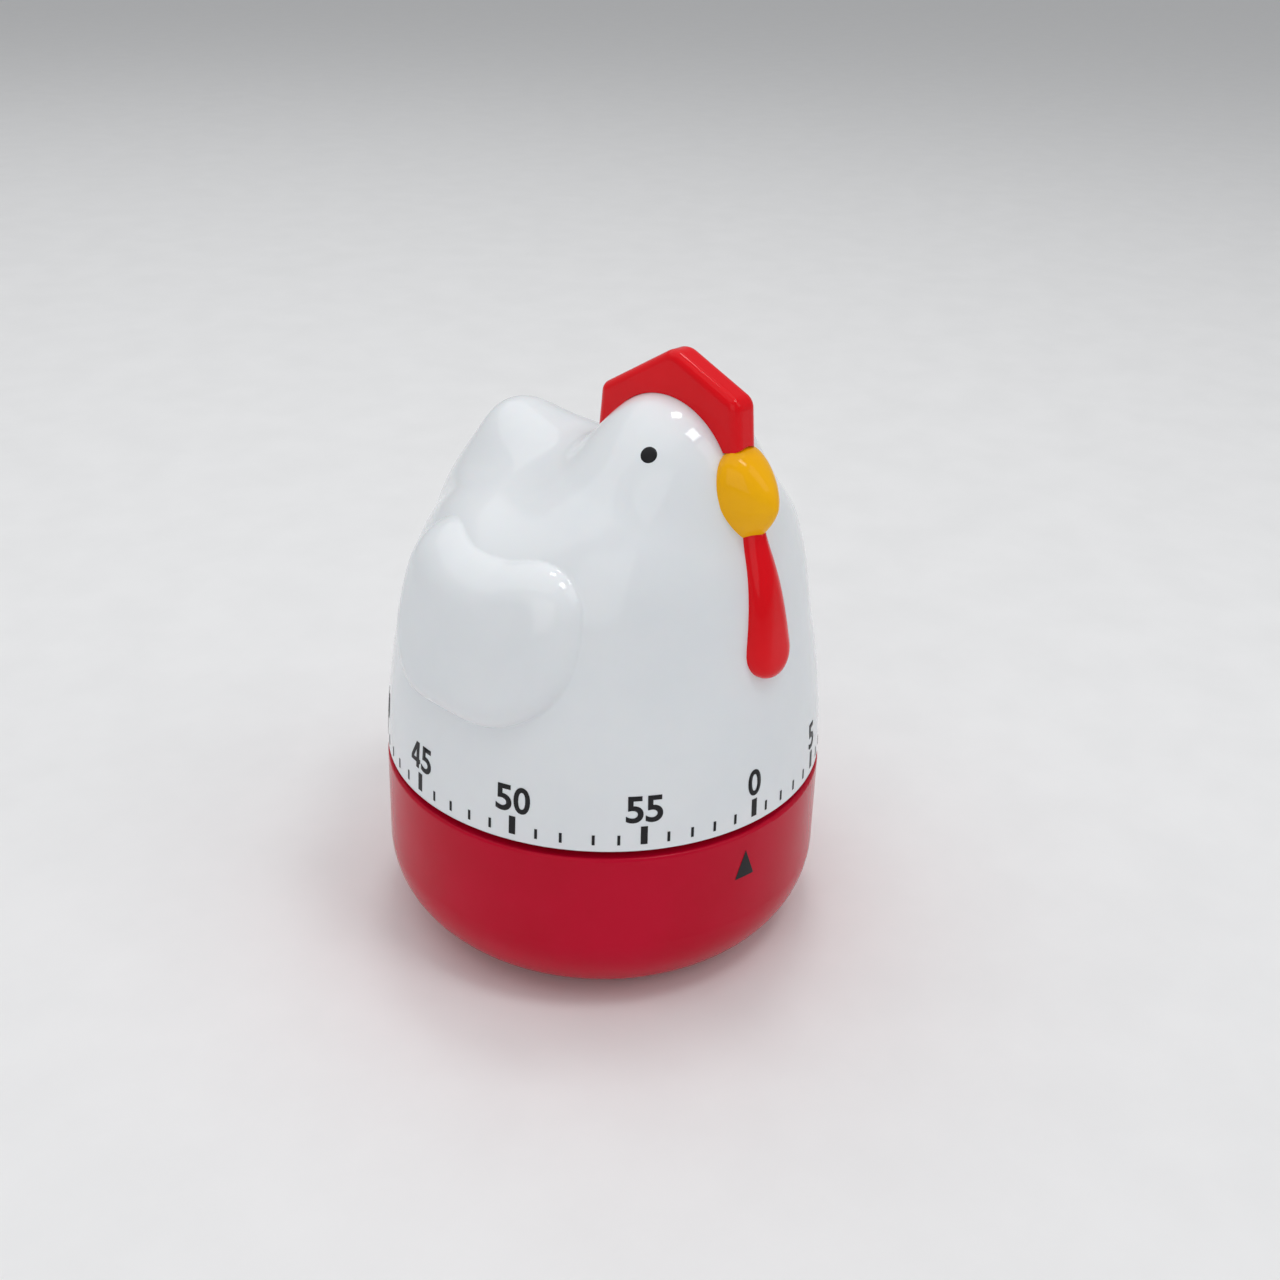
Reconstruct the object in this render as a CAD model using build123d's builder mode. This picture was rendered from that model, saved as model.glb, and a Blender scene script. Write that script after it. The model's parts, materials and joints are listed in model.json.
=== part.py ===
from build123d import *
import os
from math import asin, atan2, cos, degrees, hypot, radians, sin, sqrt

# A sixty-minute clockwork kitchen timer in the shape of a hen. All sizes are in millimetres.
# The origin is the middle of the underside, +Z is up, and the hen looks along -Y at rest.
# The hen is the dial: it turns on the movement's main arbor above the red base.

# ---- base ----
BASE_RADIUS = 34.6
BASE_RIM_RADIUS = 34.4
BASE_RIM_Z = 27.8
FOOT_RADIUS = 23.0
CORNER_HEIGHT = 12.5
BASE_WALL = 2.2
LIP_RADIUS = 31.7
LIP_WALL = 1.5
LIP_TOP_Z = 30.6
LIP_SHELF_Z = 26.0
RIM_ROUNDING = 0.5
SOUND_HOLE_RADIUS = 1.5
SOUND_HOLE_CIRCLE = 13.0
SOUND_HOLES = 12

# ---- screws and pillars ----
PILLAR_CIRCLE = 25.0
PILLAR_ANGLES = (30, 150, 270)
PILLAR_RADIUS = 2.2
BOSS_RADIUS = 2.8
SCREW_RADIUS = 1.0
SCREW_CLEARANCE = 0.1
SCREW_HEAD_RADIUS = 2.0
SCREW_HEAD_HEIGHT = 1.4
SCREW_SLOT_WIDTH = 0.5
SCREW_SLOT_DEPTH = 0.6
SCREW_GRIP = 6.0
HEAD_POCKET_DEPTH = 2.6

# ---- movement ----
LOWER_PLATE_Z = 9.8
UPPER_PLATE_Z = 24.8
PLATE_THICKNESS = 1.0
PLATE_RADIUS = 28.0
RUNNING_GAP = 0.05
ARBOR_RADIUS = 2.0
ARBOR_PIVOT_RADIUS = 1.2
ARBOR_COLLAR_RADIUS = 3.0
ARBOR_TOP_Z = 41.5
ARBOR_FLAT = 1.4
FLAT_START_Z = 29.2
TRAIN_ARBOR_RADIUS = 0.7
PIVOT_RADIUS = 0.45
PIVOT_END = 0.2
TRAIN_CIRCLE = 14.0
SECOND_ANGLE = 141.0
BALANCE_DISTANCE = 7.4
HAMMER_CIRCLE = 14.3
WHEEL_THICKNESS = 0.6

# Tooth widths as shares of the pitch at the root, the pitch circle and the tip.
WHEEL_TOOTH = (0.50, 0.42, 0.20)
PINION_TOOTH = (0.40, 0.40, 0.25)
WHEEL_ADDENDUM = 0.9
PINION_ADDENDUM = 0.6
DEDENDUM = 1.2
MAIN_MODULE = 0.4
MAIN_TEETH = 60
SECOND_PINION_TEETH = 10
FINE_MODULE = 0.35
FINE_TEETH = 48
FINE_PINION_TEETH = 8

# Heights of the layers between the plates.
MAIN_WHEEL_Z = 11.4
SECOND_PINION_Z = 11.1
CLICK_Z = 12.3
SPRING_Z = 14.2
SECOND_WHEEL_Z = 19.4
THIRD_PINION_Z = 19.1
THIRD_WHEEL_Z = 21.2
ESCAPE_PINION_Z = 20.9
ESCAPE_WHEEL_Z = 22.8
BALANCE_Z = 19.3
STRIKE_WHEEL_Z = 22.6
PINION_HEIGHT = 1.3

RATCHET_TEETH = 16
RATCHET_RADIUS = 4.6
RATCHET_ROOT = 3.8
RATCHET_LEAN = 0.08
CLICK_THICKNESS = 0.8
CLICK_PIVOT = (5.9, 5.6)
CLICK_OUTLINE = ((4.0, 0.3), (5.5, 0.3), (6.9, 4.6), (5.9, 5.6), (5.0, 4.9), (4.85, 1.8))
CLICK_EYE = 1.3
CLICK_STUD_RADIUS = 0.6
SPRING_HEIGHT = 4.2
SPRING_STRIP = 0.35
SPRING_INNER = 2.3
SPRING_OUTER = 10.9
SPRING_TURNS = 7
SPRING_STEPS = 12
ESCAPE_TEETH = 20
ESCAPE_RADIUS = 5.0
ESCAPE_ROOT = 3.4
ESCAPE_LEAN = 0.15
BALANCE_RADIUS = 5.6
BALANCE_THICKNESS = 1.2
BALANCE_RING = 1.3
BALANCE_HUB = 1.8
BALANCE_ARM = 1.8
PALLET_PIN_RADIUS = 0.3
PALLET_PIN_REACH = 2.747
PALLET_PIN_SPREAD = 2.74
ESCAPE_FIRST_ROOT = 21.06
STRIKE_TEETH = 12
STRIKE_RADIUS = 6.0
STRIKE_ROOT = 4.9
STRIKE_LEAN = 0.3
STRIKE_FIRST_ROOT = -23.8

# ---- gong and hammer ----
GONG_CENTRE = (0.0, 4.5)
GONG_RADIUS = 18.0
GONG_WALL = 0.8
GONG_Z = 3.6
GONG_HEIGHT = 5.2
GONG_ROUNDING = 2.0
GONG_POST_RADIUS = 2.2
GONG_POST_DEPTH = 4.0
GONG_HEAD_HEIGHT = 1.0
LIFT_ARM_Z = 20.8
HAMMER_ARM_Z = 5.4
HAMMER_ARM_LENGTH = 10.5
HAMMER_ARM_WIDTH = 1.4
HAMMER_ARM_THICKNESS = 1.0
HAMMER_HEAD_RADIUS = 1.6
HAMMER_HEAD_Z = 4.9
HAMMER_HEAD_HEIGHT = 2.6
HAMMER_ARBOR_RADIUS = 0.8
HAMMER_PIN_REACH = 3.91
HAMMER_PIN_SPREAD = 2.4

# ---- release and stop ----
CAM_RADIUS = 6.5
CAM_Z = 26.4
CAM_THICKNESS = 1.0
CAM_NOTCH_WIDTH = 6.2
CAM_NOTCH_FLOOR = 4.9
NOSE_RADIUS = 0.6
NOSE_ANGLE = 45.5
NOSE_CIRCLE = 7.3
RELEASE_ARM = 8.0
RELEASE_EYE = 1.8
RELEASE_STUD_RADIUS = 0.9
STOP_CIRCLE = 9.0
STOP_PIN_ANGLE = 270.0
STOP_PIN_RADIUS = 0.5
STOP_LEAD = 7.5
STOP_ARM_Z = 28.0
STOP_ARM_THICKNESS = 0.8
STOP_ARM_WIDTH = 1.2
STOP_PIN_TOP_Z = 28.9
STUD_HEAD = 0.3

# ---- hen ----
DOME_RADIUS = 34.3
DOME_HALF_HEIGHT = 64.9
DOME_CENTRE_Z = 25.6
HEN_RIM_Z = 28.9
SHOULDER_Z = 66.0
BACK_HALF_HEIGHT = 15.6
BACK_CENTRE_Z = 62.4
BODY_LEVELS = (28.9, 40.0, 52.0, 60.0, 66.0, 71.5, 75.5)
HEN_WALL = 2.2
HEAD = (0.0, -12.6, 75.0)
HEAD_SIZE = (12.7, 12.7, 13.2)
TAIL_OUTLINE = ((-2, 56), (0, 75.7), (21.4, 80.9), (35.1, 58.9), (29.6, 43))
TAIL_CORNERS = (6, 6, 6, 8, 6)
TAIL_HALF_WIDTH = 8.5
TAIL_ROUNDING = 5.5
WING_SIDES = ((26.5, -15.0), (-26.5, 15.0))
WING_Y = -0.5
WING_Z = 57.0
WING_SIZE = (7.0, 18.0, 13.0)
INSERT_GAP = 0.05
DRIVE_DISC_Z = 33.0
DRIVE_DISC_THICKNESS = 1.6
DRIVE_DISC_RADIUS = 30.6
DRIVE_SCREW_CIRCLE = 24.0
DRIVE_HUB_RADIUS = 4.8
DRIVE_HUB_Z = 29.4
DRIVE_HUB_TOP_Z = 42.0
SHELL_BOSS_TOP_Z = 46.0
RIB_THICKNESS = 1.6
RIB_LENGTH = 8.5

# ---- comb, beak and wattle ----
COMB_OUTLINE = ((1.5, 74.0), (0.3, 86.6), (-12.8, 94.6), (-24.6, 89.6), (-25.6, 80.0), (-12.0, 74.0))
COMB_CORNERS = (0.5, 1.8, 3.0, 2.2, 0.5, 0.5)
COMB_HALF_WIDTH = 2.3
COMB_ROUNDING = 1.4
COMB_TAB_WIDTH = 1.5
COMB_TAB_LENGTH = 7.0
COMB_TAB_Y = -12.6
COMB_TAB_TOP_Z = 90.0
COMB_TAB_FOOT_Z = 83.5
BEAK = (0.0, -24.6, 77.0)
BEAK_SIZE = (4.8, 6.4, 6.4)
BEAK_PEG_RADIUS = 1.6
BEAK_PEG_START_Y = -28.0
BEAK_PEG_END_Y = -19.0
WATTLE_Z = 55.2
WATTLE_RADIUS = 4.1
WATTLE_TOP_Z = 70.2
WATTLE_TOP_HALF_WIDTH = 1.9
WATTLE_RISE = 2.4
WATTLE_PEGS_Z = (55.2, 66.0)
WATTLE_PEG_RADIUS = 1.0
WATTLE_PEG_END_Y = -22.0

os.makedirs("parts", exist_ok=True)


def polar(radius, angle, about=(0.0, 0.0)):
    """The point at this radius and angle in degrees about a point, seen from above."""
    return (about[0] + radius * cos(radians(angle)), about[1] + radius * sin(radians(angle)))


def heading(start, end):
    """The direction in degrees from one point to another, seen from above."""
    return degrees(atan2(end[1] - start[1], end[0] - start[0]))


def save(piece, name):
    """Labels a finished piece and writes it."""
    piece.label = name
    export_step(piece, f"parts/{name}.step")


def tooth_ring(teeth, module, addendum, widths, first_tooth):
    """The outline of a gear with straight-flanked teeth, one of them at the angle first_tooth."""
    pitch_radius = teeth * module / 2
    pitch = 360 / teeth
    root, middle, tip = widths
    flank = (
        (pitch_radius - DEDENDUM * module, -root),
        (pitch_radius, -middle),
        (pitch_radius + addendum * module, -tip),
        (pitch_radius + addendum * module, tip),
        (pitch_radius, middle),
        (pitch_radius - DEDENDUM * module, root),
    )
    return [polar(r, first_tooth + pitch * (i + w / 2)) for i in range(teeth) for r, w in flank]


def saw_ring(teeth, tip_radius, root_radius, first_root, lean):
    """The outline of a wheel with one-sided teeth: a steep face, then a slope up to the next tip."""
    pitch = 360 / teeth
    ring = []
    for i in range(teeth):
        start = first_root + pitch * i
        ring.append(polar(root_radius, start))
        ring.append(polar(tip_radius, start + pitch * (1 - lean)))
        ring.append(polar(tip_radius, start + pitch))
    return ring


def toothed_wheel(ring, place, bottom, thickness, bore):
    """A wheel with this outline, bored for its arbor."""
    with BuildPart() as wheel:
        with BuildSketch(Plane((*place, bottom))):
            with BuildLine():
                Polyline(*ring, close=True)
            make_face()
            Circle(bore, mode=Mode.SUBTRACT)
        extrude(amount=thickness)
    return wheel.part


def train_arbor(place, pinion_ring=None, pinion_bottom=0.0):
    """A steel arbor with its pinion, if it has one, and a thin pivot at each end."""
    body_bottom = LOWER_PLATE_Z + PLATE_THICKNESS + RUNNING_GAP
    body_top = UPPER_PLATE_Z - RUNNING_GAP
    pivot_bottom = LOWER_PLATE_Z - PIVOT_END
    pivot_top = UPPER_PLATE_Z + PLATE_THICKNESS + PIVOT_END
    with BuildPart() as arbor:
        with BuildSketch(Plane((*place, pivot_bottom))):
            Circle(PIVOT_RADIUS)
        extrude(amount=pivot_top - pivot_bottom)
        with BuildSketch(Plane((*place, body_bottom))):
            Circle(TRAIN_ARBOR_RADIUS)
        extrude(amount=body_top - body_bottom)
        if pinion_ring:
            with BuildSketch(Plane((*place, pinion_bottom))):
                with BuildLine():
                    Polyline(*pinion_ring, close=True)
                make_face()
            extrude(amount=PINION_HEIGHT)
    return arbor.part


def middle(start, end):
    """The point half way between two points."""
    return ((start[0] + end[0]) / 2, (start[1] + end[1]) / 2)


def screw_group(places, head_bottom, head_height, shank_end):
    """Slotted screws at these places, each with its shank running up or down to shank_end."""
    shank_up = shank_end > head_bottom
    shank_start = head_bottom + head_height if shank_up else head_bottom
    slot_z = head_bottom if shank_up else head_bottom + head_height - SCREW_SLOT_DEPTH
    with BuildPart() as screws:
        with BuildSketch(Plane.XY.offset(head_bottom)):
            with Locations(*places):
                Circle(SCREW_HEAD_RADIUS)
        extrude(amount=head_height)
        with BuildSketch(Plane.XY.offset(slot_z)):
            with Locations(*places):
                Rectangle(2 * SCREW_HEAD_RADIUS, SCREW_SLOT_WIDTH)
        extrude(amount=SCREW_SLOT_DEPTH, mode=Mode.SUBTRACT)
        with BuildSketch(Plane.XY.offset(shank_start)):
            with Locations(*places):
                Circle(SCREW_RADIUS)
        extrude(amount=shank_end - shank_start)
    return screws.part


# ---- where the arbors stand ----
TRAIN_STEP = 2 * degrees(asin((FINE_TEETH + FINE_PINION_TEETH) * FINE_MODULE / 4 / TRAIN_CIRCLE))
BALANCE_STEP = 2 * degrees(asin(BALANCE_DISTANCE / 2 / TRAIN_CIRCLE))
CENTRE = (0.0, 0.0)
SECOND = polar(TRAIN_CIRCLE, SECOND_ANGLE)
THIRD = polar(TRAIN_CIRCLE, SECOND_ANGLE + TRAIN_STEP)
ESCAPE = polar(TRAIN_CIRCLE, SECOND_ANGLE + 2 * TRAIN_STEP)
BALANCE = polar(TRAIN_CIRCLE, SECOND_ANGLE + 2 * TRAIN_STEP + BALANCE_STEP)
HAMMER = polar(HAMMER_CIRCLE, SECOND_ANGLE - TRAIN_STEP)
PILLARS = [polar(PILLAR_CIRCLE, angle) for angle in PILLAR_ANGLES]
DRIVE_SCREWS = [polar(DRIVE_SCREW_CIRCLE, angle) for angle in PILLAR_ANGLES]
NOSE = polar(NOSE_CIRCLE, NOSE_ANGLE)
RELEASE = polar(RELEASE_ARM, NOSE_ANGLE + 90, NOSE)
STOP_PIN = polar(STOP_CIRCLE, STOP_PIN_ANGLE)

# ---- base shell ----
with BuildPart() as base_shell:
    with BuildSketch(Plane.XZ):
        with BuildLine():
            corner_width = BASE_RADIUS - FOOT_RADIUS
            inner_radius = BASE_RADIUS - BASE_WALL
            Line((0, 0), (FOOT_RADIUS, 0))
            EllipticalCenterArc(
                (FOOT_RADIUS, CORNER_HEIGHT),
                corner_width,
                CORNER_HEIGHT,
                start_angle=270,
                arc_size=90,
            )
            Polyline(
                (BASE_RADIUS, CORNER_HEIGHT),
                (BASE_RIM_RADIUS, BASE_RIM_Z),
                (LIP_RADIUS, BASE_RIM_Z),
                (LIP_RADIUS, LIP_TOP_Z),
                (LIP_RADIUS - LIP_WALL, LIP_TOP_Z),
                (LIP_RADIUS - LIP_WALL, LIP_SHELF_Z),
                (inner_radius, LIP_SHELF_Z),
                (inner_radius, CORNER_HEIGHT),
            )
            EllipticalCenterArc(
                (FOOT_RADIUS, CORNER_HEIGHT),
                corner_width - BASE_WALL,
                CORNER_HEIGHT - BASE_WALL,
                start_angle=270,
                arc_size=90,
            )
            Polyline((FOOT_RADIUS, BASE_WALL), (0, BASE_WALL), (0, 0))
        make_face()
    revolve(axis=Axis.Z)
    circles = base_shell.edges().filter_by(GeomType.CIRCLE)
    fillet([e for e in circles if abs(e.radius - BASE_RIM_RADIUS) < RUNNING_GAP], RIM_ROUNDING)
    with BuildSketch(Plane.XY.offset(BASE_WALL / 2)):
        with Locations(*PILLARS):
            Circle(BOSS_RADIUS)
    extrude(amount=LOWER_PLATE_Z - BASE_WALL / 2)
    with BuildSketch():
        with Locations(*PILLARS):
            Circle(SCREW_RADIUS + SCREW_CLEARANCE)
        with PolarLocations(SOUND_HOLE_CIRCLE, SOUND_HOLES):
            Circle(SOUND_HOLE_RADIUS)
    extrude(amount=LOWER_PLATE_Z, mode=Mode.SUBTRACT)
    with BuildSketch():
        with Locations(*PILLARS):
            Circle(SCREW_HEAD_RADIUS + SCREW_CLEARANCE)
    extrude(amount=HEAD_POCKET_DEPTH, mode=Mode.SUBTRACT)
save(base_shell.part, "base_shell")

# ---- screws from below, through the base and the lower plate into the pillars ----
base_screws = screw_group(
    PILLARS,
    HEAD_POCKET_DEPTH - SCREW_HEAD_HEIGHT,
    SCREW_HEAD_HEIGHT,
    LOWER_PLATE_Z + PLATE_THICKNESS + SCREW_GRIP,
)
save(base_screws, "base_screws")

# ---- plates ----
with BuildPart() as lower_plate:
    with BuildSketch(Plane.XY.offset(LOWER_PLATE_Z)):
        Circle(PLATE_RADIUS)
        Circle(ARBOR_PIVOT_RADIUS + RUNNING_GAP, mode=Mode.SUBTRACT)
        with Locations(*PILLARS):
            Circle(SCREW_RADIUS + SCREW_CLEARANCE, mode=Mode.SUBTRACT)
        with Locations(SECOND, THIRD, ESCAPE, BALANCE):
            Circle(PIVOT_RADIUS + RUNNING_GAP, mode=Mode.SUBTRACT)
        with Locations(HAMMER):
            Circle(HAMMER_ARBOR_RADIUS + RUNNING_GAP, mode=Mode.SUBTRACT)
        with Locations(GONG_CENTRE):
            Circle(SCREW_RADIUS, mode=Mode.SUBTRACT)
    extrude(amount=PLATE_THICKNESS)
save(lower_plate.part, "lower_plate")

with BuildPart() as upper_plate:
    with BuildSketch(Plane.XY.offset(UPPER_PLATE_Z)):
        Circle(PLATE_RADIUS)
        Circle(ARBOR_RADIUS + RUNNING_GAP, mode=Mode.SUBTRACT)
        with Locations(*PILLARS):
            Circle(SCREW_RADIUS + SCREW_CLEARANCE, mode=Mode.SUBTRACT)
        with Locations(SECOND, THIRD, ESCAPE, BALANCE):
            Circle(PIVOT_RADIUS + RUNNING_GAP, mode=Mode.SUBTRACT)
        with Locations(HAMMER):
            Circle(HAMMER_ARBOR_RADIUS + RUNNING_GAP, mode=Mode.SUBTRACT)
        with Locations(RELEASE):
            Circle(RELEASE_STUD_RADIUS, mode=Mode.SUBTRACT)
        with Locations(STOP_PIN):
            Circle(STOP_PIN_RADIUS, mode=Mode.SUBTRACT)
    extrude(amount=PLATE_THICKNESS)
save(upper_plate.part, "upper_plate")

# ---- pillars, with a threaded hole at each end ----
with BuildPart() as plate_pillars:
    with BuildSketch(Plane.XY.offset(LOWER_PLATE_Z + PLATE_THICKNESS)):
        with Locations(*PILLARS):
            Circle(PILLAR_RADIUS)
    extrude(amount=UPPER_PLATE_Z - LOWER_PLATE_Z - PLATE_THICKNESS)
    with BuildSketch(Plane.XY.offset(LOWER_PLATE_Z + PLATE_THICKNESS)):
        with Locations(*PILLARS):
            Circle(SCREW_RADIUS)
    extrude(amount=SCREW_GRIP, mode=Mode.SUBTRACT)
    with BuildSketch(Plane.XY.offset(UPPER_PLATE_Z)):
        with Locations(*PILLARS):
            Circle(SCREW_RADIUS)
    extrude(amount=-SCREW_GRIP, mode=Mode.SUBTRACT)
save(plate_pillars.part, "plate_pillars")

plate_screws = screw_group(
    PILLARS,
    UPPER_PLATE_Z + PLATE_THICKNESS,
    SCREW_HEAD_HEIGHT,
    UPPER_PLATE_Z - SCREW_GRIP,
)
save(plate_screws, "plate_screws")

# ---- main arbor: it carries the hen, the ratchet, the release cam and the stop arm ----
with BuildPart() as main_arbor:
    with BuildSketch(Plane.XY.offset(LOWER_PLATE_Z)):
        Circle(ARBOR_PIVOT_RADIUS)
    extrude(amount=MAIN_WHEEL_Z - LOWER_PLATE_Z)
    with BuildSketch(Plane.XY.offset(LOWER_PLATE_Z + PLATE_THICKNESS + RUNNING_GAP)):
        Circle(ARBOR_COLLAR_RADIUS)
    extrude(amount=MAIN_WHEEL_Z - LOWER_PLATE_Z - PLATE_THICKNESS - 2 * RUNNING_GAP)
    with BuildSketch(Plane.XY.offset(LOWER_PLATE_Z + PLATE_THICKNESS + RUNNING_GAP)):
        Circle(ARBOR_RADIUS)
    extrude(amount=ARBOR_TOP_Z - LOWER_PLATE_Z - PLATE_THICKNESS - RUNNING_GAP)
    with BuildSketch(Plane.XY.offset(FLAT_START_Z)):
        with Locations((ARBOR_FLAT, 0)):
            Rectangle(ARBOR_RADIUS, 2 * ARBOR_RADIUS, align=(Align.MIN, Align.CENTER))
    extrude(amount=ARBOR_TOP_Z - FLAT_START_Z, mode=Mode.SUBTRACT)
save(main_arbor.part, "main_arbor")

# ---- wheels of the going train ----
with BuildPart() as main_wheel:
    with BuildSketch(Plane.XY.offset(MAIN_WHEEL_Z)):
        with BuildLine():
            Polyline(
                *tooth_ring(MAIN_TEETH, MAIN_MODULE, WHEEL_ADDENDUM, WHEEL_TOOTH, SECOND_ANGLE),
                close=True,
            )
        make_face()
        Circle(ARBOR_RADIUS + RUNNING_GAP, mode=Mode.SUBTRACT)
        with Locations(CLICK_PIVOT):
            Circle(CLICK_STUD_RADIUS, mode=Mode.SUBTRACT)
    extrude(amount=WHEEL_THICKNESS)
save(main_wheel.part, "main_wheel")

second_pinion = tooth_ring(
    SECOND_PINION_TEETH,
    MAIN_MODULE,
    PINION_ADDENDUM,
    PINION_TOOTH,
    SECOND_ANGLE + 180 + 180 / SECOND_PINION_TEETH,
)
save(train_arbor(SECOND, second_pinion, SECOND_PINION_Z), "second_arbor")

second_ring = tooth_ring(
    FINE_TEETH, FINE_MODULE, WHEEL_ADDENDUM, WHEEL_TOOTH, heading(SECOND, THIRD)
)
second_wheel = toothed_wheel(
    second_ring, SECOND, SECOND_WHEEL_Z, WHEEL_THICKNESS, TRAIN_ARBOR_RADIUS
)
save(second_wheel, "second_wheel")

third_pinion = tooth_ring(
    FINE_PINION_TEETH,
    FINE_MODULE,
    PINION_ADDENDUM,
    PINION_TOOTH,
    heading(THIRD, SECOND) + 180 / FINE_PINION_TEETH,
)
save(train_arbor(THIRD, third_pinion, THIRD_PINION_Z), "third_arbor")

third_ring = tooth_ring(
    FINE_TEETH, FINE_MODULE, WHEEL_ADDENDUM, WHEEL_TOOTH, heading(THIRD, ESCAPE)
)
third_wheel = toothed_wheel(third_ring, THIRD, THIRD_WHEEL_Z, WHEEL_THICKNESS, TRAIN_ARBOR_RADIUS)
save(third_wheel, "third_wheel")

escape_pinion = tooth_ring(
    FINE_PINION_TEETH,
    FINE_MODULE,
    PINION_ADDENDUM,
    PINION_TOOTH,
    heading(ESCAPE, THIRD) + 180 / FINE_PINION_TEETH,
)
save(train_arbor(ESCAPE, escape_pinion, ESCAPE_PINION_Z), "escape_arbor")

escape_ring = saw_ring(
    ESCAPE_TEETH,
    ESCAPE_RADIUS,
    ESCAPE_ROOT,
    heading(ESCAPE, BALANCE) + ESCAPE_FIRST_ROOT,
    ESCAPE_LEAN,
)
escape_wheel = toothed_wheel(
    escape_ring, ESCAPE, ESCAPE_WHEEL_Z, WHEEL_THICKNESS, TRAIN_ARBOR_RADIUS
)
save(escape_wheel, "escape_wheel")

# ---- balance: a rim with two pallet pins that catch the escape wheel in turn ----
save(train_arbor(BALANCE), "balance_staff")

balance_heading = heading(BALANCE, ESCAPE)
pin_angle = degrees(atan2(PALLET_PIN_SPREAD, PALLET_PIN_REACH))
pin_circle = hypot(PALLET_PIN_REACH, PALLET_PIN_SPREAD)
with BuildPart() as balance_wheel:
    with BuildSketch(Plane((*BALANCE, BALANCE_Z))):
        Circle(BALANCE_RADIUS)
        Circle(BALANCE_RADIUS - BALANCE_RING, mode=Mode.SUBTRACT)
        for turn in (balance_heading - pin_angle, balance_heading + pin_angle):
            Rectangle(2 * BALANCE_RADIUS - BALANCE_RING, BALANCE_ARM, rotation=turn)
        Circle(BALANCE_HUB)
        Circle(TRAIN_ARBOR_RADIUS, mode=Mode.SUBTRACT)
    extrude(amount=BALANCE_THICKNESS)
save(balance_wheel.part, "balance_wheel")

with BuildPart() as pallet_pins:
    with BuildSketch(Plane.XY.offset(BALANCE_Z + BALANCE_THICKNESS)):
        with Locations(
            polar(pin_circle, balance_heading - pin_angle, BALANCE),
            polar(pin_circle, balance_heading + pin_angle, BALANCE),
        ):
            Circle(PALLET_PIN_RADIUS)
    extrude(amount=ESCAPE_WHEEL_Z + 2 * WHEEL_THICKNESS - BALANCE_Z - BALANCE_THICKNESS)
save(pallet_pins.part, "pallet_pins")

# ---- ratchet on the arbor and click on the main wheel: winding slips, running down drives ----
ratchet_ring = saw_ring(RATCHET_TEETH, RATCHET_RADIUS, RATCHET_ROOT, 0, RATCHET_LEAN)
ratchet_wheel = toothed_wheel(ratchet_ring, CENTRE, CLICK_Z, CLICK_THICKNESS, ARBOR_RADIUS)
save(ratchet_wheel, "ratchet_wheel")

with BuildPart() as click:
    with BuildSketch(Plane.XY.offset(CLICK_Z)):
        with BuildLine():
            Polyline(*CLICK_OUTLINE, close=True)
        make_face()
        with Locations(CLICK_PIVOT):
            Circle(CLICK_EYE)
            Circle(CLICK_STUD_RADIUS + RUNNING_GAP, mode=Mode.SUBTRACT)
    extrude(amount=CLICK_THICKNESS)
save(click.part, "click")

with BuildPart() as click_stud:
    with BuildSketch(Plane.XY.offset(MAIN_WHEEL_Z)):
        with Locations(CLICK_PIVOT):
            Circle(CLICK_STUD_RADIUS)
    extrude(amount=CLICK_Z + CLICK_THICKNESS - MAIN_WHEEL_Z + RUNNING_GAP)
    with BuildSketch(Plane.XY.offset(CLICK_Z + CLICK_THICKNESS + RUNNING_GAP)):
        with Locations(CLICK_PIVOT):
            Circle(CLICK_EYE)
    extrude(amount=STUD_HEAD)
save(click_stud.part, "click_stud")

# ---- mainspring: a coiled strip between the main wheel and the second wheel ----
def spiral(offset):
    """Points along the coil, offset outwards from its middle line."""
    steps = SPRING_TURNS * SPRING_STEPS
    rise = (SPRING_OUTER - SPRING_INNER) / steps
    return [polar(SPRING_INNER + rise * i + offset, 360 * i / SPRING_STEPS) for i in range(steps + 1)]


with BuildPart() as mainspring:
    with BuildSketch(Plane.XY.offset(SPRING_Z)):
        with BuildLine():
            inside = spiral(0)
            outside = spiral(SPRING_STRIP)
            Spline(*inside)
            Spline(*outside)
            Line(inside[0], outside[0])
            Line(inside[-1], outside[-1])
        make_face()
    extrude(amount=SPRING_HEIGHT)
save(mainspring.part, "mainspring")

# ---- strike wheel, hammer and gong ----
hammer_heading = heading(HAMMER, SECOND)
strike_ring = saw_ring(
    STRIKE_TEETH,
    STRIKE_RADIUS,
    STRIKE_ROOT,
    heading(SECOND, HAMMER) + STRIKE_FIRST_ROOT,
    STRIKE_LEAN,
)
strike_wheel = toothed_wheel(
    strike_ring, SECOND, STRIKE_WHEEL_Z, WHEEL_THICKNESS, TRAIN_ARBOR_RADIUS
)
save(strike_wheel, "strike_wheel")

with BuildPart() as hammer_arbor:
    with BuildSketch(Plane((*HAMMER, HAMMER_ARM_Z))):
        Circle(HAMMER_ARBOR_RADIUS)
    extrude(amount=UPPER_PLATE_Z + PLATE_THICKNESS + PIVOT_END - HAMMER_ARM_Z)
save(hammer_arbor.part, "hammer_arbor")

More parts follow.
